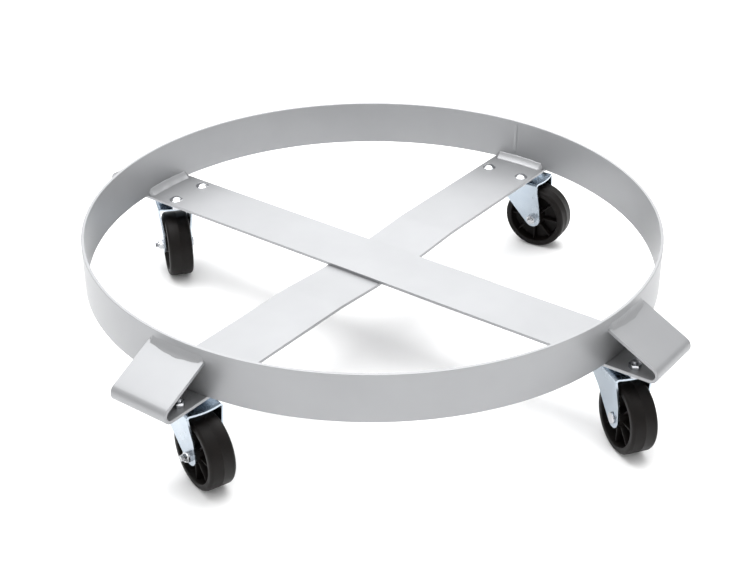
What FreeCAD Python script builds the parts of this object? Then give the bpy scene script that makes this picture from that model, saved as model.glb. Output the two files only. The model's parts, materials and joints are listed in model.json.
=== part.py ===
"""A drum dolly: a rolled steel ring on two crossed flat bars, carried by four swivel casters.

The frame of the model: +Z is up, the origin is the centre of the drum's seat, on the bars' top
faces, +X runs along the upper bar and +Y along the lower bar. Millimetres throughout.
"""
import FreeCAD, Part

import math
import os
import re

import Sketcher

V = FreeCAD.Vector

# name: millimetres, degrees or a count. Every formula further down is written with these names.
SIZES = {
    # the ring and the two bars
    "ring_inner_radius": 298.45,
    "ring_depth": 50.8,
    "strip_thickness": 3.4,
    "ring_edge_round": 0.6,
    "bar_width": 68,
    "step_start": 40,
    "step_run": 60,
    "fold_reach": 53.2,
    "fold_bend": 9,
    "fold_below_rim": 12.8,
    # the welds
    "seam_angle": 91.5,
    "seam_width": 5,
    "seam_proud": 0.5,
    "foot_weld": 7.5,
    "foot_weld_hollow": 9.75,
    "fold_weld_rise": 6,
    "fold_weld_run": 6,
    "fold_weld_hollow": 28,
    "weld_end_gap": 1.5,
    "cross_weld": 3,
    "cross_weld_length": 44,
    # the caster bolts and their nuts
    "bolt_gap_out": 61,
    "bolt_gap_side": 44.45,
    "bolt_radius": 3.175,
    "bolt_play": 0.25,
    "bolt_end": 0.2,
    "stud_end": 3,
    "dome_head_radius": 7.4,
    "dome_head_rise": 3.6,
    "hex_flats": 11.1,
    "hex_head_rise": 4,
    "hex_nut_rise": 5,
    "hex_cone_flat": 0.2,
    "hex_cone_angle": 30,
    "thread_gap": 0.02,
    # a caster's top plate, kingpin and ball races
    "kingpin_inset": 3.85,
    "plate_end_margin": 9.5,
    "plate_side_margin": 8.775,
    "plate_thickness": 2.3,
    "plate_corner": 7,
    "dish_wall_gap": 0.5,
    "dish_sink": 1.6,
    "ball_radius": 2,
    "ball_circle": 12,
    "ball_sink": 0.8,
    "ball_play": 0.06,
    "ball_spacing": 1.1,
    "pin_radius": 4.5,
    "pin_play": 0.08,
    "pin_head_radius": 8,
    "pin_head_rise": 1.4,
    "pin_foot_radius": 7.5,
    "pin_foot_rise": 2.2,
    "washer_rim": 0.3,
    "washer_thickness": 1.8,
    # its fork
    "fork_thickness": 2,
    "nut_clear": 0.6,
    "dome_wall_gap": 1.5,
    "dome_slope": 1.5,
    "leg_joggle": 3.4,
    "crown_bend": 4,
    "crown_back_from_leg": 2,
    "crown_bow": 62,
    "crown_rear": 6,
    "crown_rear_round": 2,
    "leg_gap": 0.4,
    "leg_joint": 30,
    "leg_lean": 5.5,
    "leg_rear": 13,
    "leg_shoulder": 19,
    "boss_radius": 10,
    # its wheel and axle
    "wheel_gap": 3.8,
    "swivel_lead": 30.5,
    "wheel_radius": 37.5,
    "wheel_width": 27.5,
    "wheel_shoulder": 3.5,
    "rim_wall": 7.5,
    "rim_slope": 1.5,
    "web_half": 3.5,
    "hub_radius": 9.5,
    "hub_proud": 0.45,
    "rib_half": 1.1,
    "rib_sink": 3,
    "rib_root": 0.5,
    "rib_count": 8,
    "sleeve_radius": 4.75,
    "wheel_play": 0.07,
    "axle_radius": 3,
    "axle_play": 0.1,
    "axle_chamfer": 0.6,
    "axle_head_radius": 5.8,
    "axle_head_rise": 2.2,
    "axle_head_round": 0.8,
    "axle_flats": 10,
    "axle_nut_rise": 6,
    "nut_collar_rise": 1.5,
    "nut_collar_inset": 0.8,
    "axle_end": 3,
}

# end of a bar: (direction of the end from the centre, direction the fork trails, axle turned about)
CASTERS = {
    "east": (0, -33, 180),
    "north": (90, 3, 0),
    "west": (180, -38, 0),
    "south": (270, -15.5, 0),
}

doc = FreeCAD.newDocument("DrumDolly")
sheet = doc.addObject("Spreadsheet::Sheet", "Sizes")
for row, (alias, value) in enumerate(SIZES.items(), start=1):
    sheet.set(f"A{row}", alias)
    sheet.set(f"B{row}", str(value))
    sheet.setAlias(f"B{row}", alias)
doc.recompute()

ALIAS = re.compile(r"\b(" + "|".join(SIZES) + r")\b")
SUBPARTS = []


# ------------------------------------------------------------------ small tools
def formula(text):
    """The same formula with every size's name pointed at the sheet."""
    return ALIAS.sub(r"Sizes.\1", str(text))


def number(text):
    """What a formula comes to at the sheet's present values."""
    return float(sheet.evalExpression(formula(text)))


def bind(thing, **rules):
    """Ties properties of a feature to formulas on the sheet."""
    for name, text in rules.items():
        thing.setExpression(name, formula(text))
    return thing


def origin_plane(body, role):
    """One of the body's own origin planes or axes."""
    for feature in body.Origin.OriginFeatures:
        if feature.Role == role:
            return feature
    raise ValueError(f"{body.Name} has no {role}")


def new_body(name):
    return doc.addObject("PartDesign::Body", name)


def sketch_on(body, role, name):
    """An empty sketch on an origin plane of the body."""
    sketch = body.newObject("Sketcher::SketchObject", name)
    sketch.AttachmentSupport = [(origin_plane(body, role), "")]
    sketch.MapMode = "FlatFace"
    return sketch


def pin_point(sketch, geometry, end, x, y):
    """Fixes one point of a sketch by its distances from the sketch's origin."""
    for kind, text in (("DistanceX", x), ("DistanceY", y)):
        rule = Sketcher.Constraint(kind, -1, 1, geometry, end, number(text))
        index = sketch.addConstraint(rule)
        sketch.setExpression(f"Constraints[{index}]", formula(text))


def circle(sketch, x, y, radius):
    """A circle with its centre and radius on the sheet."""
    centre = V(number(x), number(y), 0)
    index = sketch.addGeometry(Part.Circle(centre, V(0, 0, 1), number(radius)))
    pin_point(sketch, index, 3, x, y)
    rule = sketch.addConstraint(Sketcher.Constraint("Radius", index, number(radius)))
    sketch.setExpression(f"Constraints[{rule}]", formula(radius))


def arc_between(start, end, radius, turn):
    """The short arc from start to end; turn is +1 to the left and -1 to the right."""
    half = (end - start) * 0.5
    rise = math.sqrt(max(radius**2 - half.Length**2, 0))
    left = V(-half.y, half.x, 0).normalize()
    centre = start + half + left * rise * turn
    first, last = (start, end) if turn > 0 else (end, start)
    angles = [math.atan2(point.y - centre.y, point.x - centre.x) for point in (first, last)]
    return Part.ArcOfCircle(Part.Circle(centre, V(0, 0, 1), radius), *angles)


def outline(sketch, corners, arcs=None):
    """A closed outline. arcs gives a side's number the radius and turn of its arc."""
    arcs = arcs or {}
    points = [V(number(x), number(y), 0) for x, y in corners]
    first = len(sketch.Geometry)
    count = len(points)
    ends = []
    for side, start in enumerate(points):
        end = points[(side + 1) % count]
        if side in arcs:
            radius, turn = arcs[side]
            sketch.addGeometry(arc_between(start, end, number(radius), turn))
            ends.append((1, 2) if turn > 0 else (2, 1))
        else:
            sketch.addGeometry(Part.LineSegment(start, end))
            ends.append((1, 2))
    for side in range(count):
        after = (side + 1) % count
        sketch.addConstraint(
            Sketcher.Constraint("Coincident", first + side, ends[side][1], first + after, ends[after][0])
        )
    for side, (x, y) in enumerate(corners):
        pin_point(sketch, first + side, ends[side][0], x, y)
    for side, (radius, _) in arcs.items():
        rule = sketch.addConstraint(Sketcher.Constraint("Radius", first + side, number(radius)))
        sketch.setExpression(f"Constraints[{rule}]", formula(radius))


def box_outline(sketch, x0, x1, y0, y1):
    """A rectangle between four formulas."""
    outline(sketch, [(x0, y0), (x1, y0), (x1, y1), (x0, y1)])


def mirrored_corners(right, arcs):
    """Corners on one side of an upright centre line, and the same again on the other side."""
    count = len(right)
    left = [(f"-({x})", y) for x, y in reversed(right)]
    both = dict(arcs)
    for side, bend in arcs.items():
        both[2 * count - 2 - side] = bend
    return right + left, both


def feature(body, kind, name, sketch, **settings):
    """A PartDesign feature on a sketch; its expressions are bound by the caller."""
    made = body.newObject(f"PartDesign::{kind}", name)
    made.Profile = sketch
    for key, value in settings.items():
        setattr(made, key, value)
    body.Tip = made
    return made


def spun(body, kind, name, sketch, axis="V_Axis", **settings):
    """A Revolution or Groove about one of its sketch's axes."""
    return feature(body, kind, name, sketch, ReferenceAxis=(sketch, [axis]), **settings)


def keep(shape, label, place=None):
    """Takes an object as a finished sub-part: its label names its file and its node."""
    shape.Label = label
    if place is not None:
        shape.Placement = place
    SUBPARTS.append(shape)
    return shape


def group(label, shape, places):
    """One node of several separate, equal solids."""
    copies = [shape.copy() for _ in places]
    for copy, place in zip(copies, places):
        copy.Placement = place.multiply(copy.Placement)
    made = doc.addObject("Part::Feature", label)
    made.Shape = Part.makeCompound(copies)
    return keep(made, label)


def turned(degrees, at=V(0, 0, 0)):
    """A placement at a point, turned about the upright."""
    return FreeCAD.Placement(at, FreeCAD.Rotation(V(0, 0, 1), degrees))


UPSIDE_DOWN = FreeCAD.Placement(V(0, 0, 0), FreeCAD.Rotation(V(1, 0, 0), 180))


# ------------------------------------------------------------------ the welded frame
RING_OUTER = "(ring_inner_radius + strip_thickness)"
KINGPIN_FROM_CENTRE = "(ring_inner_radius - kingpin_inset)"
FOLD_TOP = "(ring_depth - fold_below_rim)"
BEND_START = f"({RING_OUTER} + fold_reach - fold_bend)"


def hoop_ring():
    """The rolled strip that the drum stands inside."""
    body = new_body("hoop_ring")
    sketch = sketch_on(body, "XZ_Plane", "ring_section")
    inner, outer, edge = "ring_inner_radius", RING_OUTER, "ring_edge_round"
    corners = [(inner, "0"), (outer, "0"), (outer, f"ring_depth - {edge}")]
    corners += [(f"{outer} - {edge}", "ring_depth"), (f"{inner} + {edge}", "ring_depth")]
    corners += [(inner, f"ring_depth - {edge}")]
    outline(sketch, corners, {2: (edge, 1), 4: (edge, 1)})
    spun(body, "Revolution", "ring_rolled", sketch, Angle=360)
    return keep(body, "hoop_ring")


def bar_path(body, drop):
    """The middle line of half a flat bar: out from the centre, up the step if it has one."""
    sketch = sketch_on(body, "XZ_Plane", "bar_path")
    middle = "-strip_thickness / 2"
    low = f"{middle} - {drop}"
    stations = [("0", low)]
    if number(drop) > 0:
        stations += [("step_start", low), ("step_start + step_run", middle)]
    stations.append((BEND_START, middle))
    points = [V(number(x), number(y), 0) for x, y in stations]
    lines = [sketch.addGeometry(Part.LineSegment(a, b)) for a, b in zip(points, points[1:])]
    for line, (x, y) in zip(lines, stations):
        pin_point(sketch, line, 1, x, y)
    pin_point(sketch, lines[-1], 2, *stations[-1])
    for line, after in zip(lines, lines[1:]):
        sketch.addConstraint(Sketcher.Constraint("Coincident", line, 2, after, 1))
    return sketch


def flat_bar(label, drop, place):
    """A bar between the bends at its two ends; drop is how far its middle lies below them."""
    body = new_body(label)
    path = bar_path(body, drop)
    section = sketch_on(body, "YZ_Plane", "bar_section")
    half = "bar_width / 2"
    box_outline(section, f"-{half}", half, f"-strip_thickness - {drop}", f"-({drop})")
    doc.recompute()
    strip = feature(body, "AdditivePipe", "bar_half", section, Transition="Right corner")
    strip.Spine = (path, [])
    doc.recompute()
    holes = sketch_on(body, "XY_Plane", "bolt_holes")
    for out in ("-", "+"):
        for side in ("-", "+"):
            x = f"{KINGPIN_FROM_CENTRE} {out} bolt_gap_out / 2"
            circle(holes, x, f"{side}bolt_gap_side / 2", "bolt_radius + bolt_play")
    drilled = feature(body, "Pocket", "bolt_hole_cuts", holes)
    bind(drilled, Length="strip_thickness * 2")
    other_half = body.newObject("PartDesign::Mirrored", "bar_other_half")
    other_half.Originals = [strip, drilled]
    other_half.MirrorPlane = (origin_plane(body, "YZ_Plane"), [""])
    body.Tip = other_half
    return keep(body, label, place)


def fold_path(body):
    """The middle line of a bar's folded end: round the bend, then back up to the ring."""
    sketch = sketch_on(body, "XZ_Plane", "fold_path")
    middle = "-strip_thickness / 2"
    bend = "(fold_bend - strip_thickness / 2)"
    bend_height = f"{middle} + {bend}"
    hub = V(number(BEND_START), number(bend_height), 0)
    top = V(number("ring_inner_radius"), number(FOLD_TOP), 0)
    reach = hub - top
    slope = math.atan2(reach.y, reach.x) + math.asin(number(bend) / reach.Length)
    length = math.sqrt(reach.Length**2 - number(bend) ** 2)
    touch = top + V(math.cos(slope), math.sin(slope), 0) * length
    round_bend = Part.Circle(hub, V(0, 0, 1), number(bend))
    last = math.atan2(touch.y - hub.y, touch.x - hub.x)
    turn = sketch.addGeometry(Part.ArcOfCircle(round_bend, -math.pi / 2, last))
    back = sketch.addGeometry(Part.LineSegment(touch, top))
    sketch.addConstraint(Sketcher.Constraint("Tangent", turn, 2, back, 1))
    pin_point(sketch, turn, 1, BEND_START, middle)
    pin_point(sketch, turn, 3, BEND_START, bend_height)
    pin_point(sketch, back, 2, "ring_inner_radius", FOLD_TOP)
    return sketch


def bar_fold(end):
    """The folded end of a bar: it turns up and lies back against the ring, over the outer nuts."""
    body = new_body(f"{end}_bar_fold")
    path = fold_path(body)
    section = sketch_on(body, "YZ_Plane", f"{end}_fold_section")
    section.setExpression(".AttachmentOffset.Base.z", formula(BEND_START))
    half = "bar_width / 2"
    box_outline(section, f"-{half}", half, "-strip_thickness", "0")
    doc.recompute()
    strip = feature(body, "AdditivePipe", f"{end}_fold_strip", section, Transition="Right corner")
    strip.Spine = (path, [])
    doc.recompute()
    cope = sketch_on(body, "XY_Plane", f"{end}_cope_circle")
    circle(cope, "0", "0", RING_OUTER)
    trim = feature(body, "Pocket", f"{end}_cope", cope, Reversed=True)
    bind(trim, Length="ring_depth")
    return keep(body, f"{end}_bar_fold", turned(CASTERS[end][0]))


def seam_weld():
    """The dressed butt weld where the strip's two ends meet, a low bead on the inner face."""
    body = new_body("ring_seam_weld")
    sketch = sketch_on(body, "XY_Plane", "seam_section")
    half = "seam_width / 2"
    face = f"sqrt(ring_inner_radius ^ 2 - ({half}) ^ 2)"
    chord = [(face, f"-{half}"), (face, half)]
    crown = "((seam_width ^ 2 / 4 + seam_proud ^ 2) / (2 * seam_proud))"
    outline(sketch, chord, {0: ("ring_inner_radius", 1), 1: (crown, 1)})
    bead = feature(body, "Pad", "seam_bead", sketch)
    bind(bead, Length="ring_depth - foot_weld - 2 * ring_edge_round")
    foot = V(0, 0, number("foot_weld + ring_edge_round"))
    return keep(body, "ring_seam_weld", turned(number("seam_angle"), foot))


def weld_bead(name, corners, arcs):
    """A bead with this section in radius and height, bent along the ring across a bar's width."""
    body = new_body(name)
    sketch = sketch_on(body, "XZ_Plane", f"{name}_section")
    outline(sketch, corners, arcs)
    bead = spun(body, "Revolution", f"{name}_run", sketch, Midplane=True)
    bind(bead, Angle="2 * asin((bar_width / 2 - weld_end_gap) / ring_inner_radius)")
    return body


def foot_welds():
    """The fillet welds inside the ring, one across each end of the two bars."""
    corners = [
        ("ring_inner_radius - foot_weld", "0"),
        ("ring_inner_radius", "0"),
        ("ring_inner_radius", "foot_weld"),
    ]
    body = weld_bead("foot_weld_master", corners, {2: ("foot_weld_hollow", -1)})
    doc.recompute()
    return group("foot_welds", body.Shape, [turned(angle) for angle, _, _ in CASTERS.values()])


def fold_welds(fold):
    """The welds that close each folded end against the ring's outer face, cut to lie on the fold."""
    meets = f"{FOLD_TOP} - strip_thickness"
    corners = [
        (RING_OUTER, meets),
        (f"{RING_OUTER} + fold_weld_run", f"{meets} - fold_weld_run / 2"),
        (RING_OUTER, f"{FOLD_TOP} + fold_weld_rise"),
    ]
    body = weld_bead("fold_weld_master", corners, {1: ("fold_weld_hollow", 1)})
    whole = doc.addObject("Part::Cut", "fold_weld_on_strip")
    whole.Base = body
    whole.Tool = fold
    doc.recompute()
    above = max(whole.Shape.Solids, key=lambda solid: solid.CenterOfMass.z)
    return group("fold_welds", above, [turned(angle) for angle, _, _ in CASTERS.values()])


def crossing_welds():
    """Two small fillets under the crossing, between the lower bar's edges and the upper bar."""
    body = new_body("cross_weld_master")
    sketch = sketch_on(body, "YZ_Plane", "cross_weld_section")
    edge = "bar_width / 2"
    level = "-strip_thickness"
    outline(sketch, [(edge, level), (edge, f"{level} - cross_weld"), (f"{edge} + cross_weld", level)])
    bead = feature(body, "Pad", "cross_weld_run", sketch, Midplane=True)
    bind(bead, Length="cross_weld_length")
    doc.recompute()
    return group("crossing_welds", body.Shape, [turned(90), turned(270)])


# ------------------------------------------------------------------ the caster bolts
def hexagon(sketch, flats):
    """A regular hexagon round the sketch's origin, two flats upright."""
    tip = f"(({flats}) / sqrt(3))"
    half = f"(({flats}) / 2)"
    corners = [(half, f"{tip} / 2"), ("0", tip), (f"-{half}", f"{tip} / 2")]
    corners += [(f"-{half}", f"-{tip} / 2"), ("0", f"-{tip}"), (half, f"-{tip} / 2")]
    outline(sketch, corners)


def hex_pad(body, name, flats, length, reversed_way=False):
    """A hexagonal block up from the body's floor, or down from it."""
    sketch = sketch_on(body, "XY_Plane", f"{name}_hexagon")
    hexagon(sketch, flats)
    block = feature(body, "Pad", name, sketch, Reversed=reversed_way)
    bind(block, Length=length)
    return block


def coned_corners(body, name, flats, top, downwards=False):
    """Turns the corners of a hexagonal block's far face down to a circle."""
    sketch = sketch_on(body, "XZ_Plane", f"{name}_cone")
    sign = "-" if downwards else ""
    inner = f"(({flats}) / 2 - hex_cone_flat)"
    outer = f"(({flats}) / sqrt(3) + hex_cone_flat)"
    drop = f"({outer} - {inner}) * tan(hex_cone_angle)"
    corners = [(inner, f"{sign}({top})"), (outer, f"{sign}({top})")]
    outline(sketch, corners + [(outer, f"{sign}({top} - {drop})")])
    spun(body, "Groove", name, sketch, Angle=360)


def bored(body, name, radius):
    """A hole through the whole body along its own upright."""
    sketch = sketch_on(body, "XY_Plane", f"{name}_circle")
    circle(sketch, "0", "0", radius)
    return feature(body, "Pocket", name, sketch, Type="ThroughAll", Midplane=True)


def bolt_places(out, level):
    """Where the bolts stand: two at each bar end, inside the ring (-1) or outside it (+1)."""
    radius = number(f"{KINGPIN_FROM_CENTRE} + ({out}) * bolt_gap_out / 2")
    side = number("bolt_gap_side / 2")
    places = []
    for angle, _, _ in CASTERS.values():
        for across in (-side, side):
            spot = turned(angle).multVec(V(radius, across, number(level)))
            places.append(turned(angle, spot))
    return places


STACK = "(strip_thickness + plate_thickness)"


def carriage_bolts():
    """Round-headed bolts inside the ring, heads up, so that the drum's rim slides past them."""
    body = new_body("carriage_bolt_master")
    sketch = sketch_on(body, "XZ_Plane", "carriage_bolt_profile")
    end = f"-({STACK} + hex_nut_rise + bolt_end)"
    crown = "((dome_head_radius ^ 2 + dome_head_rise ^ 2) / (2 * dome_head_rise))"
    corners = [("0", end), ("bolt_radius", end), ("bolt_radius", "0")]
    corners += [("dome_head_radius", "0"), ("0", "dome_head_rise")]
    outline(sketch, corners, {3: (crown, 1)})
    spun(body, "Revolution", "carriage_bolt_turned", sketch, Angle=360)
    doc.recompute()
    return group("inner_carriage_bolts", body.Shape, bolt_places(-1, "0"))


def hex_bolts():
    """Hexagon bolts outside the ring, heads under the casters' plates and threads up."""
    body = new_body("hex_bolt_master")
    hex_pad(body, "hex_bolt_head", "hex_flats", "hex_head_rise", reversed_way=True)
    coned_corners(body, "hex_bolt_head_corners", "hex_flats", "hex_head_rise", downwards=True)
    shank = sketch_on(body, "XY_Plane", "hex_bolt_shank_circle")
    circle(shank, "0", "0", "bolt_radius")
    bind(feature(body, "Pad", "hex_bolt_shank", shank), Length=f"{STACK} + hex_nut_rise + stud_end")
    doc.recompute()
    return group("outer_hex_bolts", body.Shape, bolt_places(1, f"-{STACK}"))


def hex_nuts(label, places):
    """The bolts' nuts: their bores stand a hair clear of the threads, which are left plain."""
    body = new_body(f"{label}_master")
    hex_pad(body, f"{label}_block", "hex_flats", "hex_nut_rise")
    coned_corners(body, f"{label}_corners", "hex_flats", "hex_nut_rise")
    bored(body, f"{label}_bore", "bolt_radius + thread_gap")
    doc.recompute()
    return group(label, body.Shape, places)


# ------------------------------------------------------------------ the casters
# A caster's own frame: the origin is on the kingpin, on the top plate's upper face, +X trails.
BALLS_OUTSIDE = "(ball_circle + ball_radius)"
DISH_RADIUS = f"({BALLS_OUTSIDE} + dish_wall_gap)"
WASHER_RADIUS = f"({BALLS_OUTSIDE} + washer_rim)"
DOME_RADIUS = f"({BALLS_OUTSIDE} + dome_wall_gap + fork_thickness)"
DISH_UNDER = "-(plate_thickness + dish_sink)"
UPPER_BALLS = f"({DISH_UNDER} + ball_sink - ball_radius)"
DOME_TOP = f"({UPPER_BALLS} + ball_sink - ball_radius)"
DOME_UNDER = f"({DOME_TOP} - fork_thickness)"
LOWER_BALLS = f"({DOME_UNDER} + ball_sink - ball_radius)"
WASHER_TOP = f"({LOWER_BALLS} + ball_sink - ball_radius)"
WASHER_UNDER = f"({WASHER_TOP} - washer_thickness)"
PIN_FOOT = f"({WASHER_UNDER} - pin_foot_rise)"
CROWN_GAP = "(hex_nut_rise + bolt_end + nut_clear)"
CROWN_TOP = f"-(plate_thickness + {CROWN_GAP})"
CROWN_UNDER = f"({CROWN_TOP} - fork_thickness)"
AXLE_DEPTH = f"(wheel_gap + wheel_radius - {PIN_FOOT})"
GROOVE_RADIUS = "ball_radius + ball_play"
HUB_HALF = "(wheel_width / 2 + hub_proud)"
LEG_INSIDE = f"({HUB_HALF} + leg_gap)"
LEG_HALF = f"({LEG_INSIDE} + fork_thickness)"
CROWN_HALF = f"({LEG_HALF} + leg_joggle)"
CROWN_SIDE = f"({CROWN_HALF} + crown_bend)"
LEG_FRONT = "(swivel_lead + leg_lean)"
CROWN_FRONT = f"({LEG_FRONT} - crown_back_from_leg)"
RIM_RADIUS = "(wheel_radius - rim_wall)"
CUT_PAST = 1  # how far a cut runs past the face that it opens
WELL_CLEAR = 150  # further out than any of the fork's sheet


def kingpin_place(end, degrees):
    """A placement on the kingpin of one caster, at the height of its plate's upper face."""
    angle = CASTERS[end][0]
    spot = turned(angle).multVec(V(number(KINGPIN_FROM_CENTRE), 0, number("-strip_thickness")))
    return turned(degrees, spot)


def top_plate(end):
    """The plate that bolts under a bar, pressed down in the middle to hold the kingpin's head."""
    body = new_body(f"{end}_top_plate")
    sketch = sketch_on(body, "XY_Plane", f"{end}_plate_outline")
    half_x = "(bolt_gap_out / 2 + plate_end_margin)"
    half_y = "(bolt_gap_side / 2 + plate_side_margin)"
    corner = "plate_corner"
    corners = [(f"-{half_x} + {corner}", f"-{half_y}"), (f"{half_x} - {corner}", f"-{half_y}")]
    corners += [(half_x, f"-{half_y} + {corner}"), (half_x, f"{half_y} - {corner}")]
    corners += [(f"{half_x} - {corner}", half_y), (f"-{half_x} + {corner}", half_y)]
    corners += [(f"-{half_x}", f"{half_y} - {corner}"), (f"-{half_x}", f"-{half_y} + {corner}")]
    outline(sketch, corners, {side: (corner, 1) for side in (1, 3, 5, 7)})
    bind(feature(body, "Pad", f"{end}_plate_sheet", sketch, Reversed=True), Length="plate_thickness")
    dish = sketch_on(body, "XZ_Plane", f"{end}_dish_section")
    rim = f"{DISH_RADIUS} + plate_thickness"
    corners = [("0", DISH_UNDER), (f"{rim} - dish_sink", DISH_UNDER), (rim, "-plate_thickness")]
    outline(dish, corners + [("0", "-plate_thickness")])
    spun(body, "Revolution", f"{end}_dish", dish, Angle=360)
    hollow = sketch_on(body, "XZ_Plane", f"{end}_dish_hollow_section")
    hole = "pin_radius + pin_play"
    below = f"{DISH_UNDER} - {CUT_PAST}"
    corners = [("0", below), (hole, below), (hole, "-dish_sink")]
    corners += [(f"{DISH_RADIUS} - dish_sink", "-dish_sink"), (DISH_RADIUS, "0"), ("0", "0")]
    outline(hollow, corners)
    spun(body, "Groove", f"{end}_dish_hollow", hollow, Angle=360)
    race = sketch_on(body, "XZ_Plane", f"{end}_plate_race_section")
    circle(race, "ball_circle", UPPER_BALLS, GROOVE_RADIUS)
    spun(body, "Groove", f"{end}_plate_race", race, Angle=360)
    holes = sketch_on(body, "XY_Plane", f"{end}_plate_holes")
    for out in ("-", ""):
        for side in ("-", ""):
            circle(holes, f"{out}bolt_gap_out / 2", f"{side}bolt_gap_side / 2", "bolt_radius + bolt_play")
    bind(feature(body, "Pocket", f"{end}_plate_drilled", holes), Length="plate_thickness * 2")
    return keep(body, f"{end}_top_plate", kingpin_place(end, CASTERS[end][0]))


def kingpin(end):
    """The rivet that holds plate, balls, fork and lower race together."""
    body = new_body(f"{end}_kingpin")
    sketch = sketch_on(body, "XZ_Plane", f"{end}_kingpin_profile")
    head_top = "(pin_head_rise - dish_sink)"
    corners = [("0", PIN_FOOT), ("pin_foot_radius - pin_foot_rise", PIN_FOOT)]
    corners += [("pin_foot_radius", WASHER_UNDER)]
    corners += [("pin_radius", WASHER_UNDER), ("pin_radius", "-dish_sink"), ("pin_head_radius", "-dish_sink")]
    corners += [("pin_head_radius - pin_head_rise / 2", head_top), ("0", head_top)]
    outline(sketch, corners, {1: ("pin_foot_rise", 1)})
    spun(body, "Revolution", f"{end}_kingpin_turned", sketch, Angle=360)
    return keep(body, f"{end}_kingpin", kingpin_place(end, CASTERS[end][0]))


def ball_ring(label, end, level):
    """One full ring of loose balls."""
    ball = Part.makeSphere(number("ball_radius"))
    count = math.floor(number("pi * ball_circle / (ball_radius * ball_spacing)"))
    base = kingpin_place(end, CASTERS[end][1])
    places = []
    for index in range(count):
        spot = turned(360 * index / count).multVec(V(number("ball_circle"), 0, number(level)))
        places.append(base.multiply(FreeCAD.Placement(spot, FreeCAD.Rotation())))
    return group(label, ball, places)


def race_washer(end):
    """The lower race, held up under the fork by the kingpin's foot."""
    body = new_body(f"{end}_race_washer")
    sketch = sketch_on(body, "XZ_Plane", f"{end}_race_washer_section")
    box_outline(sketch, "pin_radius + pin_play", WASHER_RADIUS, WASHER_UNDER, WASHER_TOP)
    spun(body, "Revolution", f"{end}_race_washer_turned", sketch, Angle=360)
    race = sketch_on(body, "XZ_Plane", f"{end}_washer_race_section")
    circle(race, "ball_circle", LOWER_BALLS, GROOVE_RADIUS)
    spun(body, "Groove", f"{end}_washer_race", race, Angle=360)
    return keep(body, f"{end}_race_washer", kingpin_place(end, CASTERS[end][0]))


def tangent_on_boss(x, z, side):
    """Where a straight edge from (x, z) meets the round foot of the fork; side picks which way."""
    across = f"(swivel_lead - ({x}))"
    down = f"(-{AXLE_DEPTH} - ({z}))"
    far = f"sqrt({across} ^ 2 + {down} ^ 2)"
    heading = f"(atan2({down}; {across}) {side} asin(boss_radius / {far}))"
    reach = f"sqrt({across} ^ 2 + {down} ^ 2 - boss_radius ^ 2)"
    return f"({x}) + {reach} * cos({heading})", f"({z}) + {reach} * sin({heading})"


def fork_channel(body, end):
    """The sheet bent into a channel, seen from the front: crown, bends and joggled legs."""
    sketch = sketch_on(body, "YZ_Plane", f"{end}_fork_front")
    under_bend = f"{CROWN_TOP} - crown_bend"
    joint = f"{CROWN_TOP} - leg_joint"
    foot = f"-{AXLE_DEPTH} - boss_radius - {CUT_PAST}"
    right = [
        (f"{CROWN_HALF} - crown_bend", CROWN_UNDER),
        (f"{CROWN_HALF} - fork_thickness", under_bend),
        (LEG_INSIDE, joint),
        (LEG_INSIDE, foot),
        (LEG_HALF, foot),
        (LEG_HALF, joint),
        (CROWN_HALF, under_bend),
        (f"{CROWN_HALF} - crown_bend", CROWN_TOP),
    ]
    bends = {0: ("crown_bend - fork_thickness", -1), 6: ("crown_bend", 1)}
    outline(sketch, *mirrored_corners(right, bends))
    bind(feature(body, "Pad", f"{end}_fork_sheet", sketch, Midplane=True), Length=WELL_CLEAR)


def fork_side_cut(body, end):
    """Trims the legs to their side view: upright at the front, slanting at the rear, round below."""
    sketch = sketch_on(body, "XZ_Plane", f"{end}_fork_side")
    under_bend = f"{CROWN_TOP} - crown_bend"
    shoulder = f"{CROWN_TOP} - leg_shoulder"
    inside = WELL_CLEAR - CUT_PAST
    box_outline(sketch, -WELL_CLEAR, WELL_CLEAR, -WELL_CLEAR, WELL_CLEAR)
    kept = [
        ("-leg_rear", shoulder),
        tangent_on_boss("-leg_rear", shoulder, "-"),
        tangent_on_boss(LEG_FRONT, under_bend, "+"),
        (LEG_FRONT, under_bend),
        (inside, under_bend),
        (inside, inside),
        (-inside, inside),
        (-inside, under_bend),
        ("-leg_rear", under_bend),
    ]
    outline(sketch, kept, {1: ("boss_radius", 1)})
    feature(body, "Pocket", f"{end}_fork_side_cut", sketch, Type="ThroughAll", Midplane=True)


def fork_plan_cut(body, end):
    """Trims the crown to its plan: bowed forward at the front and round at the rear."""
    sketch = sketch_on(body, "XY_Plane", f"{end}_fork_plan")
    box_outline(sketch, -WELL_CLEAR, WELL_CLEAR, -WELL_CLEAR, WELL_CLEAR)
    kept = [
        ("-crown_rear", f"-{CROWN_SIDE}"),
        (CROWN_FRONT, f"-{CROWN_SIDE}"),
        (CROWN_FRONT, CROWN_SIDE),
        ("-crown_rear", CROWN_SIDE),
    ]
    outline(sketch, kept, {1: ("crown_bow", 1), 3: (f"{CROWN_SIDE} + crown_rear_round", 1)})
    cut = feature(body, "Pocket", f"{end}_fork_plan_cut", sketch)
    bind(cut, Length=f"plate_thickness + {CROWN_GAP} + crown_bend")


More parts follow.
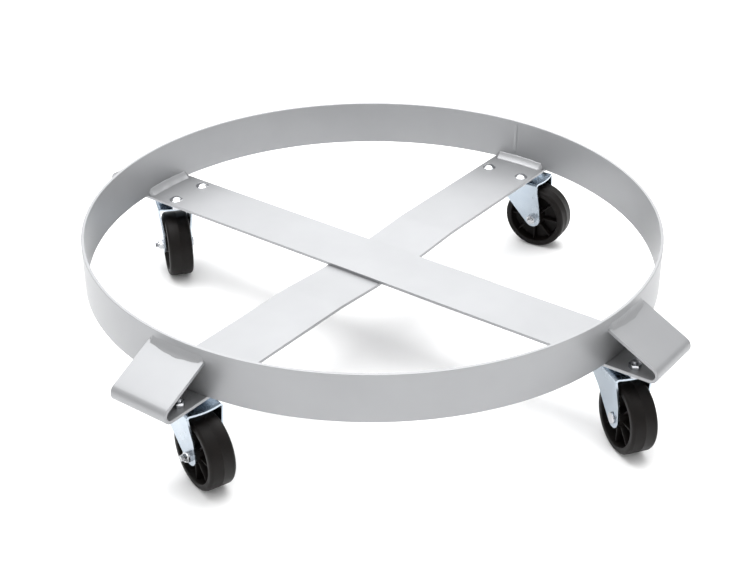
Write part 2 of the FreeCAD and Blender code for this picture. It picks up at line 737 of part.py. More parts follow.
def fork_dome(body, end):
    """The dome pressed up in the crown, which holds one ball race above it and one below."""
    dome = sketch_on(body, "XZ_Plane", f"{end}_dome_section")
    shoulder = f"{DOME_RADIUS} - dome_slope"
    corners = [("0", CROWN_UNDER), (DOME_RADIUS, CROWN_UNDER), (DOME_RADIUS, CROWN_TOP)]
    outline(dome, corners + [(shoulder, DOME_TOP), ("0", DOME_TOP)])
    spun(body, "Revolution", f"{end}_dome", dome, Angle=360)
    hollow = sketch_on(body, "XZ_Plane", f"{end}_dome_hollow_section")
    below, above = f"{CROWN_UNDER} - {CUT_PAST}", f"{DOME_TOP} + {CUT_PAST}"
    wall, hole = f"{DOME_RADIUS} - fork_thickness", "pin_radius + pin_play"
    corners = [("0", below), (wall, below), (wall, f"{DOME_UNDER} - dome_slope")]
    corners += [(f"{wall} - dome_slope / 2", DOME_UNDER), (hole, DOME_UNDER), (hole, above), ("0", above)]
    outline(hollow, corners)
    spun(body, "Groove", f"{end}_dome_hollow", hollow, Angle=360)
    races = sketch_on(body, "XZ_Plane", f"{end}_dome_race_sections")
    circle(races, "ball_circle", UPPER_BALLS, GROOVE_RADIUS)
    circle(races, "ball_circle", LOWER_BALLS, GROOVE_RADIUS)
    spun(body, "Groove", f"{end}_dome_races", races, Angle=360)


def fork(end):
    """The pressed fork: a crown with a domed race, and two legs that close in on the axle."""
    body = new_body(f"{end}_fork")
    fork_channel(body, end)
    fork_side_cut(body, end)
    fork_plan_cut(body, end)
    fork_dome(body, end)
    holes = sketch_on(body, "XZ_Plane", f"{end}_axle_hole")
    circle(holes, "swivel_lead", f"-{AXLE_DEPTH}", "axle_radius + axle_play")
    feature(body, "Pocket", f"{end}_axle_holes", holes, Type="ThroughAll", Midplane=True)
    return keep(body, f"{end}_fork", kingpin_place(end, CASTERS[end][1]))


def axle_place(end, degrees=0):
    """A placement at the centre of one wheel, its axle along the local Y."""
    centre = V(number("swivel_lead"), 0, number(f"-{AXLE_DEPTH}"))
    return kingpin_place(end, CASTERS[end][1]).multiply(turned(degrees, centre))


def along_axle(end, degrees=0):
    """The same, with the local Z along the axle, for what is turned or hexagonal."""
    lying = FreeCAD.Placement(V(0, 0, 0), FreeCAD.Rotation(V(1, 0, 0), -90))
    return axle_place(end, degrees).multiply(lying)


def axle_bolt(end):
    """The round-headed bolt that the wheel turns on."""
    body = new_body(f"{end}_axle_bolt")
    sketch = sketch_on(body, "XZ_Plane", f"{end}_axle_bolt_profile")
    tip = f"-({LEG_HALF} + axle_nut_rise + axle_end)"
    head = f"{LEG_HALF} + axle_head_rise"
    corners = [("0", tip), ("axle_radius - axle_chamfer", tip), ("axle_radius", f"{tip} + axle_chamfer")]
    corners += [("axle_radius", LEG_HALF), ("axle_head_radius", LEG_HALF)]
    corners += [("axle_head_radius", f"{head} - axle_head_round")]
    corners += [("axle_head_radius - axle_head_round", head), ("0", head)]
    outline(sketch, corners, {5: ("axle_head_round", 1)})
    spun(body, "Revolution", f"{end}_axle_bolt_turned", sketch, Angle=360)
    return keep(body, f"{end}_axle_bolt", along_axle(end, CASTERS[end][2]))


def axle_nut(end):
    """The lock nut on the bolt's other end, with the round collar that holds its nylon ring."""
    body = new_body(f"{end}_axle_nut")
    hexagon_rise = "(axle_nut_rise - nut_collar_rise)"
    hex_pad(body, f"{end}_nut_block", "axle_flats", hexagon_rise)
    coned_corners(body, f"{end}_nut_corners", "axle_flats", hexagon_rise)
    ring = sketch_on(body, "XY_Plane", f"{end}_nut_collar_circle")
    circle(ring, "0", "0", "axle_flats / 2 - nut_collar_inset")
    bind(feature(body, "Pad", f"{end}_nut_collar", ring), Length="axle_nut_rise")
    bored(body, f"{end}_nut_bore", "axle_radius + thread_gap")
    over = FreeCAD.Placement(V(0, 0, -number(LEG_HALF)), FreeCAD.Rotation()).multiply(UPSIDE_DOWN)
    return keep(body, f"{end}_axle_nut", along_axle(end, CASTERS[end][2]).multiply(over))


def axle_sleeve(end):
    """The tube between the fork's legs: it keeps them apart, and the wheel turns round it."""
    body = new_body(f"{end}_axle_sleeve")
    sketch = sketch_on(body, "XZ_Plane", f"{end}_sleeve_section")
    box_outline(sketch, "axle_radius + axle_play", "sleeve_radius", f"-{LEG_INSIDE}", LEG_INSIDE)
    spun(body, "Revolution", f"{end}_sleeve_turned", sketch, Angle=360)
    return keep(body, f"{end}_axle_sleeve", along_axle(end))


def wheel(end):
    """The one-piece moulded wheel: tread, rim, thin web, hub and ribs on both sides."""
    body = new_body(f"{end}_wheel")
    sketch = sketch_on(body, "XZ_Plane", f"{end}_wheel_section")
    half = "(wheel_width / 2)"
    top_side = [
        ("sleeve_radius + wheel_play", HUB_HALF),
        ("hub_radius", HUB_HALF),
        ("hub_radius + rim_slope", "web_half"),
        (f"{RIM_RADIUS} - rim_slope", "web_half"),
        (RIM_RADIUS, half),
        ("wheel_radius - wheel_shoulder", half),
        ("wheel_radius", f"{half} - wheel_shoulder"),
    ]
    lower = [(r, f"-({y})") for r, y in reversed(top_side)]
    corners = top_side[::-1] + lower[::-1]
    bends = {0: ("wheel_shoulder", 1), len(corners) - 2: ("wheel_shoulder", 1)}
    outline(sketch, corners, bends)
    spun(body, "Revolution", f"{end}_wheel_moulded", sketch, Angle=360)
    rib_sketch = sketch_on(body, "XY_Plane", f"{end}_rib_plan")
    box_outline(rib_sketch, "hub_radius - rib_root", RIM_RADIUS, "-rib_half", "rib_half")
    rib = feature(body, "Pad", f"{end}_rib", rib_sketch, Midplane=True)
    bind(rib, Length="wheel_width - 2 * rib_sink")
    ribs = body.newObject("PartDesign::PolarPattern", f"{end}_ribs")
    ribs.Originals = [rib]
    ribs.Axis = (rib_sketch, ["N_Axis"])
    ribs.Angle = 360
    bind(ribs, Occurrences="rib_count")
    body.Tip = ribs
    return keep(body, f"{end}_wheel", along_axle(end))


# ------------------------------------------------------------------ building and writing
def build_frame():
    """The ring, the bars and the welds that join them."""
    hoop_ring()
    flat_bar("upper_cross_bar", "0", turned(0))
    flat_bar("lower_cross_bar", "strip_thickness", turned(90))
    folds = {end: bar_fold(end) for end in CASTERS}
    seam_weld()
    foot_welds()
    fold_welds(folds["east"])
    crossing_welds()


def build_bolts():
    """What holds the casters' plates to the bars."""
    carriage_bolts()
    hex_nuts("inner_nuts", [place.multiply(UPSIDE_DOWN) for place in bolt_places(-1, f"-{STACK}")])
    hex_bolts()
    hex_nuts("outer_nuts", bolt_places(1, "0"))


def build_caster(end):
    """One caster, from its plate down to its wheel."""
    top_plate(end)
    kingpin(end)
    ball_ring(f"{end}_upper_balls", end, UPPER_BALLS)
    ball_ring(f"{end}_lower_balls", end, LOWER_BALLS)
    race_washer(end)
    fork(end)
    axle_bolt(end)
    axle_nut(end)
    axle_sleeve(end)
    wheel(end)


def check_document():
    """Stops with a plain message if any feature failed or any sub-part has no sound solid."""
    for thing in doc.Objects:
        if "Invalid" in thing.State or "Error" in thing.State:
            raise RuntimeError(f"{thing.Name} failed: {thing.State}")
    for part in SUBPARTS:
        if part.Shape.isNull() or not part.Shape.isValid():
            raise RuntimeError(f"{part.Label} has no valid shape")


build_frame()
build_bolts()
for caster_end in CASTERS:
    build_caster(caster_end)
doc.recompute()
check_document()
os.makedirs("parts", exist_ok=True)
for part in SUBPARTS:
    part.Shape.exportStep(f"parts/{part.Label}.step")
    print(f"{part.Label}: {len(part.Shape.Solids)} solid(s), {part.Shape.Volume:.0f} mm3")
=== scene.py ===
# %% [markdown]
# # A drum dolly
# A drum dolly is a low round trolley for one steel drum: a rolled ring that the drum stands in, two
# flat bars crossed under it, and a swivel caster at each of the four ends. The working model comes
# from CAD and is loaded first, as a frame that never moves. The cells after that give each part the
# shape, edges and finish that the eye expects.

# %% Load the frame
import json
import math

import bmesh
import bpy
from mathutils import Matrix, Vector


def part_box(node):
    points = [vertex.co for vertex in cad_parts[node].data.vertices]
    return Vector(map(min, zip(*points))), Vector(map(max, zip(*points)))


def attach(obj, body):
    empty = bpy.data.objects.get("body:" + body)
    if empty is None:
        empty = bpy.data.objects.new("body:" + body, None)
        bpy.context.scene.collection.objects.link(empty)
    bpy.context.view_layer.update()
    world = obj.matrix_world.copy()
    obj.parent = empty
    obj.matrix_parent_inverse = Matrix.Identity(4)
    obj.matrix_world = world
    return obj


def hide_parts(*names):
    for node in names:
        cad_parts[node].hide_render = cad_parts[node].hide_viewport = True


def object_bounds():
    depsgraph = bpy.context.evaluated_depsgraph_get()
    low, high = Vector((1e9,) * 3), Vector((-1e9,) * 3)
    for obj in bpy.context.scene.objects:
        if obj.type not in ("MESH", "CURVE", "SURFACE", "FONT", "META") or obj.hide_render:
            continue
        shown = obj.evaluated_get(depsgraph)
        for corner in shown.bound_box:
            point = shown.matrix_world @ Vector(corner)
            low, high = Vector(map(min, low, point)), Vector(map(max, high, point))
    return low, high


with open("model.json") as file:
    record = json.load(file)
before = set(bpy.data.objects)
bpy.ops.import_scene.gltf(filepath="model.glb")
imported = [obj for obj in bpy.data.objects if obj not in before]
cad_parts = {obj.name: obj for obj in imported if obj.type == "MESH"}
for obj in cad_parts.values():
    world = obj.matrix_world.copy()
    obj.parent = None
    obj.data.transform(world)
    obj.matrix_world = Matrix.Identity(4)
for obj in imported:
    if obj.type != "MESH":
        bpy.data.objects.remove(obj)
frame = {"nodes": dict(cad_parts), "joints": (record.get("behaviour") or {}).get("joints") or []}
cad_low, cad_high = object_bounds()
ENDS = ("east", "north", "west", "south")
MM = 0.001
MERGE_GAP = 0.002 * MM
CUT_GAP = 0.0005 * MM
JOINTS = {joint["name"]: joint for joint in frame["joints"]}
print("CAD box in metres:", [round(high - low, 4) for low, high in zip(cad_low, cad_high)])

# %% [markdown]
# ## Helpers for materials
# A shader works in linear light, but people pick colours as sRGB hex values, so one function turns
# one into the other. Another adds a node with its settings and links, which keeps every material
# short enough to read as a recipe.

# %% Colour and node helpers
def linear(hex_colour):
    """An sRGB hex colour as the linear colour that a shader takes."""
    shares = [int(hex_colour[start:start + 2], 16) / 255 for start in (1, 3, 5)]
    return [s / 12.92 if s <= 0.04045 else ((s + 0.055) / 1.055) ** 2.4 for s in shares] + [1.0]


def add_node(tree, kind, values=None, links=None, **settings):
    """Adds a node: settings are its own options, values fill its sockets, links feed them."""
    node = tree.nodes.new(kind)
    for name, value in settings.items():
        setattr(node, name, value)
    for socket, value in (values or {}).items():
        node.inputs[socket].default_value = value
    for socket, source in (links or {}).items():
        tree.links.new(source, node.inputs[socket])
    return node


def new_material(name):
    """A material with an empty node tree and its output node."""
    material = bpy.data.materials.new(name)
    material.use_nodes = True
    material.node_tree.nodes.clear()
    return material, material.node_tree


def per_metre(millimetres):
    """The scale that makes a noise pattern's blotches about this many millimetres across."""
    return 1 / (millimetres * MM)


def blotches(tree, millimetres, detail=3, stretch=(1, 1, 1)):
    """Noise of a real size on the part's own coordinates, drawn out along an axis if asked."""
    where = add_node(tree, "ShaderNodeTexCoord").outputs["Object"]
    mapped = add_node(tree, "ShaderNodeMapping", {"Scale": stretch}, {"Vector": where})
    values = {"Scale": per_metre(millimetres), "Detail": detail, "Roughness": 0.55}
    return add_node(tree, "ShaderNodeTexNoise", values, {"Vector": mapped.outputs["Vector"]})


def two_tones(tree, noise, dark, light):
    """A colour that wanders between two hex values with the noise."""
    ramp = add_node(tree, "ShaderNodeValToRGB", links={"Fac": noise.outputs["Fac"]})
    ramp.color_ramp.elements[0].position = 0.35
    ramp.color_ramp.elements[1].position = 0.65
    ramp.color_ramp.elements[0].color = linear(dark)
    ramp.color_ramp.elements[1].color = linear(light)
    return ramp.outputs["Color"]


def between(tree, noise, low, high):
    """A number that wanders between two values with the noise."""
    values = {"From Min": 0.3, "From Max": 0.7, "To Min": low, "To Max": high}
    return add_node(tree, "ShaderNodeMapRange", values, {"Value": noise.outputs["Fac"]}).outputs["Result"]


def bumps(tree, noise, depth_mm, strength=1.0, after=None):
    """Surface relief of a real depth from the noise, on top of another bump if one is given."""
    links = {"Height": noise.outputs["Fac"]}
    if after is not None:
        links["Normal"] = after
    values = {"Strength": strength, "Distance": depth_mm * MM}
    return add_node(tree, "ShaderNodeBump", values, links).outputs["Normal"]


def surface(tree, values, links):
    """The Principled shader that ends every recipe."""
    shader = add_node(tree, "ShaderNodeBsdfPrincipled", values, links)
    add_node(tree, "ShaderNodeOutputMaterial", links={"Surface": shader.outputs["BSDF"]})


print("helpers ready, white is", linear("#ffffff"))

# %% [markdown]
# ## The finishes
# The welded frame is powder coated in silver grey: fine metal flakes in a baked paint, so it shines
# like satin and still hides the steel's grain. Baked powder also flows unevenly into a faint orange
# peel. The casters are pressed steel, electroplated with zinc and dipped in a blue passivate, which
# leaves a cold, slightly cloudy shine.

# %% Powder coat on the frame
def silver_powder_coat():
    """Silver-grey powder coat: flakes give it a satin metal shine, baking gives it orange peel."""
    material, tree = new_material("silver_powder_coat")
    clouds = blotches(tree, 90)
    peel = blotches(tree, 2.4, detail=1)
    grain = blotches(tree, 0.9, detail=2)
    relief = bumps(tree, grain, 0.02, 0.5, after=bumps(tree, peel, 0.03, 0.5))
    links = {
        "Base Color": two_tones(tree, clouds, "#939496", "#98999b"),
        "Roughness": between(tree, clouds, 0.42, 0.46),
        "Normal": relief,
    }
    surface(tree, {"Metallic": 0.6, "IOR": 1.5}, links)
    return material


SILVER = silver_powder_coat()
print("made", SILVER.name)

# %% Zinc on pressings and fasteners
def blue_zinc_pressing():
    """Zinc plate with blue passivate on pressed sheet: cold, bright and a little cloudy."""
    material, tree = new_material("blue_zinc_pressing")
    clouds = blotches(tree, 14)
    drawn = blotches(tree, 1.6, detail=2, stretch=(1, 1, 0.2))
    links = {
        "Base Color": two_tones(tree, clouds, "#aab4be", "#afb8c1"),
        "Roughness": between(tree, clouds, 0.25, 0.28),
        "Normal": bumps(tree, drawn, 0.003, 0.3),
    }
    surface(tree, {"Metallic": 1.0}, links)
    return material


def bright_zinc_fastener():
    """Bright zinc on turned and headed steel: sharper highlights than the pressings have."""
    material, tree = new_material("bright_zinc_fastener")
    clouds = blotches(tree, 5)
    links = {
        "Base Color": two_tones(tree, clouds, "#b4b6b9", "#c3c4c7"),
        "Roughness": between(tree, clouds, 0.16, 0.26),
        "Normal": bumps(tree, clouds, 0.02, 0.4),
    }
    surface(tree, {"Metallic": 1.0}, links)
    return material


def ground_bearing_steel():
    """Hardened, ground and lapped balls: almost a mirror, with the faintest greasy haze."""
    material, tree = new_material("ground_bearing_steel")
    haze = blotches(tree, 2)
    links = {
        "Base Color": two_tones(tree, haze, "#cfd0d1", "#dcdddd"),
        "Roughness": between(tree, haze, 0.06, 0.14),
    }
    surface(tree, {"Metallic": 1.0}, links)
    return material


PRESSED_ZINC = blue_zinc_pressing()
BRIGHT_ZINC = bright_zinc_fastener()
BEARING_STEEL = ground_bearing_steel()
print("made", PRESSED_ZINC.name, BRIGHT_ZINC.name, BEARING_STEEL.name)

# %% [markdown]
# ## The wheel's plastic
# The wheels are moulded in one piece from a filled phenolic or hard polyolefin. Straight from the
# mould it is nearly black with a brown cast, and its skin is dull on the tread and a little shinier
# where the steel of the mould was smooth.

# %% Moulded wheel
def moulded_brown_black():
    """Filled hard plastic from a steel mould: brown-black, dull, with flow marks."""
    material, tree = new_material("moulded_brown_black")
    flow = blotches(tree, 9)
    skin = blotches(tree, 0.8, detail=2)
    links = {
        "Base Color": two_tones(tree, flow, "#090605", "#0e0a08"),
        "Roughness": between(tree, flow, 0.44, 0.52),
        "Normal": bumps(tree, skin, 0.02, 0.4),
    }
    surface(tree, {"IOR": 1.4, "Specular IOR Level": 0.25}, links)
    return material


WHEEL_PLASTIC = moulded_brown_black()
print("made", WHEEL_PLASTIC.name)

# %% [markdown]
# ## Helpers for shapes
# Most parts here are either turned, bent from sheet or copied from the CAD part. Each needs the same
# ending: merge the doubles, turn the faces outwards, round the edges a little so that they catch the
# light, and hang the piece on its CAD body.

# %% Finish a piece
def as_piece(bm, name, body, material, nodes=(), place=None, sharp=35, recalculate=True):
    """Turns a finished bmesh into a piece that rides on a CAD body and stands for CAD nodes."""
    if place is not None:
        bm.transform(place)
    bmesh.ops.remove_doubles(bm, verts=bm.verts, dist=MERGE_GAP)
    if recalculate:
        bmesh.ops.recalc_face_normals(bm, faces=bm.faces)
    mesh = bpy.data.meshes.new(name)
    bm.to_mesh(mesh)
    bm.free()
    mesh.shade_smooth()
    mesh.set_sharp_from_angle(angle=math.radians(sharp))
    mesh.materials.append(material)
    piece = bpy.data.objects.new(name, mesh)
    bpy.context.scene.collection.objects.link(piece)
    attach(piece, body)
    if nodes:
        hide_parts(*nodes)
    return piece


def thicken(piece, millimetres):
    """Gives a sheet its thickness, half on each side."""
    wall = piece.modifiers.new("sheet", "SOLIDIFY")
    wall.thickness = millimetres * MM
    wall.offset = 0
    wall.use_even_offset = True


def soften(piece, millimetres, segments=2, angle=35):
    """Rounds the sharp edges with a small bevel, as cutting, pressing or moulding leaves them."""
    edge = piece.modifiers.new("soft_edges", "BEVEL")
    edge.width = millimetres * MM
    edge.segments = segments
    edge.limit_method = "ANGLE"
    edge.angle_limit = math.radians(angle)
    edge.harden_normals = True


# %% Turned profiles, threads and copies
def spin_profile(bm, points, steps, closed=False):
    """Spins an outline of (radius, height) points in millimetres once round the upright."""
    verts = [bm.verts.new((radius * MM, 0, height * MM)) for radius, height in points]
    edges = [bm.edges.new(pair) for pair in zip(verts, verts[1:])]
    if closed:
        edges.append(bm.edges.new((verts[-1], verts[0])))
    bmesh.ops.spin(
        bm, geom=verts + edges, cent=(0, 0, 0), axis=(0, 0, 1), angle=math.tau, steps=steps, use_merge=True
    )
    bmesh.ops.remove_doubles(bm, verts=bm.verts, dist=MERGE_GAP)


def arc(centre, radius, start, end, count):
    """Points along an arc in an outline, from one angle to another in degrees."""
    steps = [math.radians(start + (end - start) * index / count) for index in range(count + 1)]
    return [(centre[0] + radius * math.cos(a), centre[1] + radius * math.sin(a)) for a in steps]


def cut_flat(bm, height, keep_below):
    """Cuts everything off at a height and closes the cut."""
    geometry = bm.verts[:] + bm.edges[:] + bm.faces[:]
    cut = bmesh.ops.bisect_plane(
        bm,
        geom=geometry,
        dist=CUT_GAP,
        plane_co=(0, 0, height * MM),
        plane_no=(0, 0, 1),
        clear_outer=keep_below,
        clear_inner=not keep_below,
    )
    edges = [item for item in cut["geom_cut"] if isinstance(item, bmesh.types.BMEdge)]
    bmesh.ops.edgeloop_fill(bm, edges=edges)


def thread(crest, pitch, bottom, top, around=20):
    """A real screw thread: one tooth of the profile climbs one pitch in each turn."""
    bm = bmesh.new()
    root = crest - 0.6 * pitch
    turns = math.ceil((top - bottom) / pitch) + 2
    tooth = [(root, -pitch), (crest, -0.55 * pitch), (crest, -0.45 * pitch), (root, 0)]
    verts = [bm.verts.new((radius * MM, 0, (bottom + rise) * MM)) for radius, rise in tooth]
    edges = [bm.edges.new(pair) for pair in zip(verts, verts[1:])]
    bmesh.ops.spin(
        bm,
        geom=verts + edges,
        cent=(0, 0, 0),
        axis=(0, 0, 1),
        dvec=(0, 0, pitch * MM / around),
        angle=math.tau * turns,
        steps=around * turns,
    )
    bmesh.ops.remove_doubles(bm, verts=bm.verts, dist=MERGE_GAP)
    cut_flat(bm, top, keep_below=True)
    cut_flat(bm, bottom, keep_below=False)
    return bm


def add_copy(bm, part, place):
    """Adds a placed copy of one bmesh to another."""
    mesh = bpy.data.meshes.new("scratch")
    part.to_mesh(mesh)
    mesh.transform(place)
    bm.from_mesh(mesh)
    bpy.data.meshes.remove(mesh)


def cad_copy(node):
    """A merged copy of a CAD part's mesh, its flat faces joined up again."""
    bm = bmesh.new()
    bm.from_mesh(frame["nodes"][node].data)
    bmesh.ops.remove_doubles(bm, verts=bm.verts, dist=MERGE_GAP)
    bmesh.ops.dissolve_limit(bm, angle_limit=math.radians(0.5), verts=bm.verts, edges=bm.edges)
    return bm


def wear(node, material):
    """Gives a CAD part that stays in view its real finish."""
    for slot in frame["nodes"][node].material_slots:
        slot.material = material


print("shape helpers ready")

# %% [markdown]
# ## The ring
# The ring is a flat strip rolled to a circle and welded shut. A rectangle spun once round the centre
# makes it, and a bevel rounds its rim to the strip's mill edge. That thin round rim is what draws the
# bright line along the ring's top.

# %% Ring
ring_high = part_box("hoop_ring")[1]
STRIP = 3.4
RING_OUTER = ring_high.x / MM
RING_INNER = RING_OUTER - STRIP
RING_TOP = ring_high.z / MM
RING_STEPS = 240


def rolled_ring():
    """The rolled strip, from its foot on the bars to its rim."""
    bm = bmesh.new()
    corners = [(RING_INNER, 0), (RING_OUTER, 0), (RING_OUTER, RING_TOP), (RING_INNER, RING_TOP)]
    spin_profile(bm, corners, RING_STEPS, closed=True)
    ring = as_piece(bm, "rolled_ring", "frame", SILVER, ["hoop_ring"])
    soften(ring, 0.6, segments=3)
    return ring


rolled_ring()
print(f"ring {2 * RING_INNER:.1f} mm inside, {RING_TOP:.1f} mm deep")

# %% [markdown]
# ## The bars
# Each bar is one flat strip. Its ends run out under the ring, turn back over a round former and slope
# up to the ring's outer face. A row of edges pulled along the strip's middle line, spun round the
# former and pulled on again follows what the press brake does, and a Solidify gives the strip its
# thickness afterwards. The last row is trimmed to the ring's curve.

# %% Bars
fold_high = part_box("east_bar_fold")[1]
BAR_HALF = fold_high.y / MM
FOLD_END = fold_high.x / MM
FOLD_BEND = 9 - STRIP / 2
FOLD_TOP = 38
MIDDLE = -STRIP / 2
STEP_START = 40
STEP_END = 100
KINK = 2
BAR_COLUMNS = 14
BEND_STEPS = 18
SLOPE_PULLS = (5, 25, 10)


def pull(bm, row, shift):
    """Extrudes a row of edges by a shift in millimetres and returns the new row."""
    made = bmesh.ops.extrude_edge_only(bm, edges=row)["geom"]
    verts = [item for item in made if isinstance(item, bmesh.types.BMVert)]
    bmesh.ops.translate(bm, verts=verts, vec=Vector(shift) * MM)
    return [item for item in made if isinstance(item, bmesh.types.BMEdge) and item.verts[0] in verts
            and item.verts[1] in verts and len(item.link_faces) == 1]


def fold_line():
    """The former's centre, how far the strip turns round it, and the heading after that."""
    hub = Vector((FOLD_END - FOLD_BEND - STRIP / 2, 0, MIDDLE + FOLD_BEND))
    reach = Vector((RING_INNER, 0, FOLD_TOP)) - hub
    turn = math.atan2(reach.z, reach.x) + math.asin(FOLD_BEND / reach.length)
    return hub, turn, Vector((math.cos(turn), 0, math.sin(turn)))


def trim_to_ring(row, heading):
    """Slides the last row along the slope until it meets the ring's outer face."""
    for vert in {vert for edge in row for vert in edge.verts}:
        wanted = math.sqrt((RING_OUTER * MM) ** 2 - vert.co.y ** 2)
        vert.co += heading * ((wanted - vert.co.x) / heading.x)


def folded_bar(name, nodes, drop, turned_by):
    """A flat bar with both ends folded; drop is how far its middle lies lower."""
    bm = bmesh.new()
    side_a = bm.verts.new((0, -BAR_HALF * MM, (MIDDLE - drop) * MM))
    side_b = bm.verts.new((0, BAR_HALF * MM, (MIDDLE - drop) * MM))
    start = bm.edges.new((side_a, side_b))
    bmesh.ops.subdivide_edges(bm, edges=[start], cuts=BAR_COLUMNS - 1)
    row = bm.edges[:]
    hub, turn, heading = fold_line()
    slope = drop / (STEP_END - STEP_START)
    for run, rise in ((STEP_START - KINK, 0), (KINK, 0), (KINK, slope * KINK),
                      (STEP_END - STEP_START - 2 * KINK, slope * (STEP_END - STEP_START - 2 * KINK)),
                      (KINK, slope * KINK), (KINK, 0), (hub.x - STEP_END - KINK, 0)):
        row = pull(bm, row, (run, 0, rise))
    verts = list({vert for edge in row for vert in edge.verts})
    bend = bmesh.ops.spin(
        bm, geom=verts + row, cent=hub * MM, axis=(0, -1, 0), angle=turn, steps=BEND_STEPS
    )
    row = [item for item in bend["geom_last"] if isinstance(item, bmesh.types.BMEdge)]
    for length in SLOPE_PULLS:
        row = pull(bm, row, heading * length)
    trim_to_ring(row, heading)
    bmesh.ops.mirror(bm, geom=bm.verts[:] + bm.edges[:] + bm.faces[:], axis="X", merge_dist=0.01 * MM)
    place = Matrix.Rotation(turned_by, 4, "Z")
    bar = as_piece(bm, name, "frame", SILVER, nodes, place)
    thicken(bar, STRIP)
    soften(bar, 0.5, segments=3)
    return bar


folded_bar("upper_flat_bar", ["upper_cross_bar", "east_bar_fold", "west_bar_fold"], 0, 0)
folded_bar("lower_flat_bar", ["lower_cross_bar", "north_bar_fold", "south_bar_fold"], STRIP, math.pi / 2)
print(f"bars {2 * BAR_HALF:.0f} mm wide, folded ends reach {FOLD_END:.1f} mm from the centre")

# %% [markdown]
# ## The welds
# A weld bead under paint is a soft, slightly lumpy ridge: each ripple is where the arc paused. The
# section of each bead is spun along the ring, then every point is drawn towards the bead's root by a
# ripple, and to nothing at the bead's two ends.

# %% Weld beads round the ring
RIPPLE = 2.6


def swell(along, half_length):
    """How full the bead is at a place along it: ripples, and tapered ends."""
    ends = min(1.0, max(0.0, (half_length - abs(along)) / 4)) ** 0.5
    wander = 0.02 * math.sin(along * 0.35) + 0.02 * math.sin(along * 0.13 + 1)
    ripple = 0.008 * math.cos(math.tau * along / RIPPLE)
    return ends * (0.95 + wander + ripple)


def ring_bead(section, root, half_length, directions):
    """Beads along the ring, one towards each direction, from a section of (radius, height)."""
    bead = bmesh.new()
    half_angle = half_length / RING_OUTER
    verts = [bead.verts.new((radius * MM, 0, height * MM)) for radius, height in section]
    edges = [bead.edges.new(pair) for pair in zip(verts, verts[1:])]
    edges.append(bead.edges.new((verts[-1], verts[0])))
    bmesh.ops.rotate(bead, verts=verts, matrix=Matrix.Rotation(-half_angle, 3, "Z"))
    spun = bmesh.ops.spin(
        bead, geom=verts + edges, cent=(0, 0, 0), axis=(0, 0, 1), angle=2 * half_angle, steps=120
    )
    last = [item for item in spun["geom_last"] if isinstance(item, bmesh.types.BMEdge)]
    bmesh.ops.edgeloop_fill(bead, edges=edges)
    bmesh.ops.edgeloop_fill(bead, edges=last)
    for vert in bead.verts:
        angle = math.atan2(vert.co.y, vert.co.x)
        size = max(swell(angle * RING_OUTER, half_length), 0.05)
        radius = math.hypot(vert.co.x, vert.co.y) / MM
        radius = root[0] + (radius - root[0]) * size
        height = root[1] + (vert.co.z / MM - root[1]) * size
        vert.co = Vector((radius * math.cos(angle), radius * math.sin(angle), height)) * MM
    bm = bmesh.new()
    for direction in directions:
        add_copy(bm, bead, Matrix.Rotation(direction, 4, "Z"))
    bead.free()
    return bm


QUARTERS = [math.pi / 2 * index for index in range(4)]
FOOT_WELD = 7.5
FOOT_SUNK = 0.4
FOLD_WELD = 6
FOLD_SUNK = 0.5


def fillet_face(toe, top, root, dip):
    """Points from a weld's toe to its top, drawn in towards its root by this much half-way."""
    toe, top, root = Vector(toe), Vector(top), Vector(root)
    inward = (root - (toe + top) / 2).normalized()
    shares = [index / 8 for index in range(9)]
    return [tuple(toe.lerp(top, share) + inward * (4 * share * (1 - share) * dip)) for share in shares]


def foot_weld_beads():
    """The fillet inside the ring, across each bar's end."""
    face = fillet_face((RING_INNER - FOOT_WELD, 0), (RING_INNER, FOOT_WELD), (RING_INNER, 0), 0.6)
    root = (RING_INNER + FOOT_SUNK, -FOOT_SUNK)
    section = [root, (RING_INNER - FOOT_WELD, -FOOT_SUNK)] + face + [(RING_INNER + FOOT_SUNK, FOOT_WELD)]
    bm = ring_bead(section, root, BAR_HALF - 1, QUARTERS)
    return as_piece(bm, "foot_weld_beads", "frame", SILVER, ["foot_welds"], sharp=60)


def bar_top(radius):
    """The height of a folded end's upper face at a distance from the centre."""
    _, _, heading = fold_line()
    return FOLD_TOP + (radius - RING_INNER) * heading.z / heading.x + STRIP / 2 / abs(heading.x)


def fold_weld_beads():
    """The narrow band that closes each folded end against the ring."""
    top = FOLD_TOP + FOLD_WELD
    toe = bar_top(RING_OUTER + FOLD_WELD)
    foot = (RING_OUTER - FOLD_SUNK, bar_top(RING_OUTER) - 2)
    face = fillet_face((RING_OUTER + FOLD_WELD, toe), (RING_OUTER, top), foot, 0.8)
    section = [foot, (RING_OUTER + FOLD_WELD, toe - 1)] + face + [(RING_OUTER - FOLD_SUNK, top)]
    bm = ring_bead(section, foot, BAR_HALF - 0.5, QUARTERS)
    return as_piece(bm, "fold_weld_beads", "frame", SILVER, ["fold_welds"], sharp=60)


foot_weld_beads()
fold_weld_beads()
print("weld beads:", 2 * len(QUARTERS))

# %% [markdown]
# ## The ring's seam and the crossing
# The butt weld that closes the ring runs straight up its inner face, dressed nearly flat. Its section
# is pulled along in short steps. The fillets that tie the bars together where they cross lie
# underneath, so they keep their CAD shape and only get the frame's finish.

# %% Seam weld
SEAM_HALF = 2.5
SEAM_SHOULDER = 1.2
SEAM_PROUD = 0.5
SEAM_SUNK = 0.6


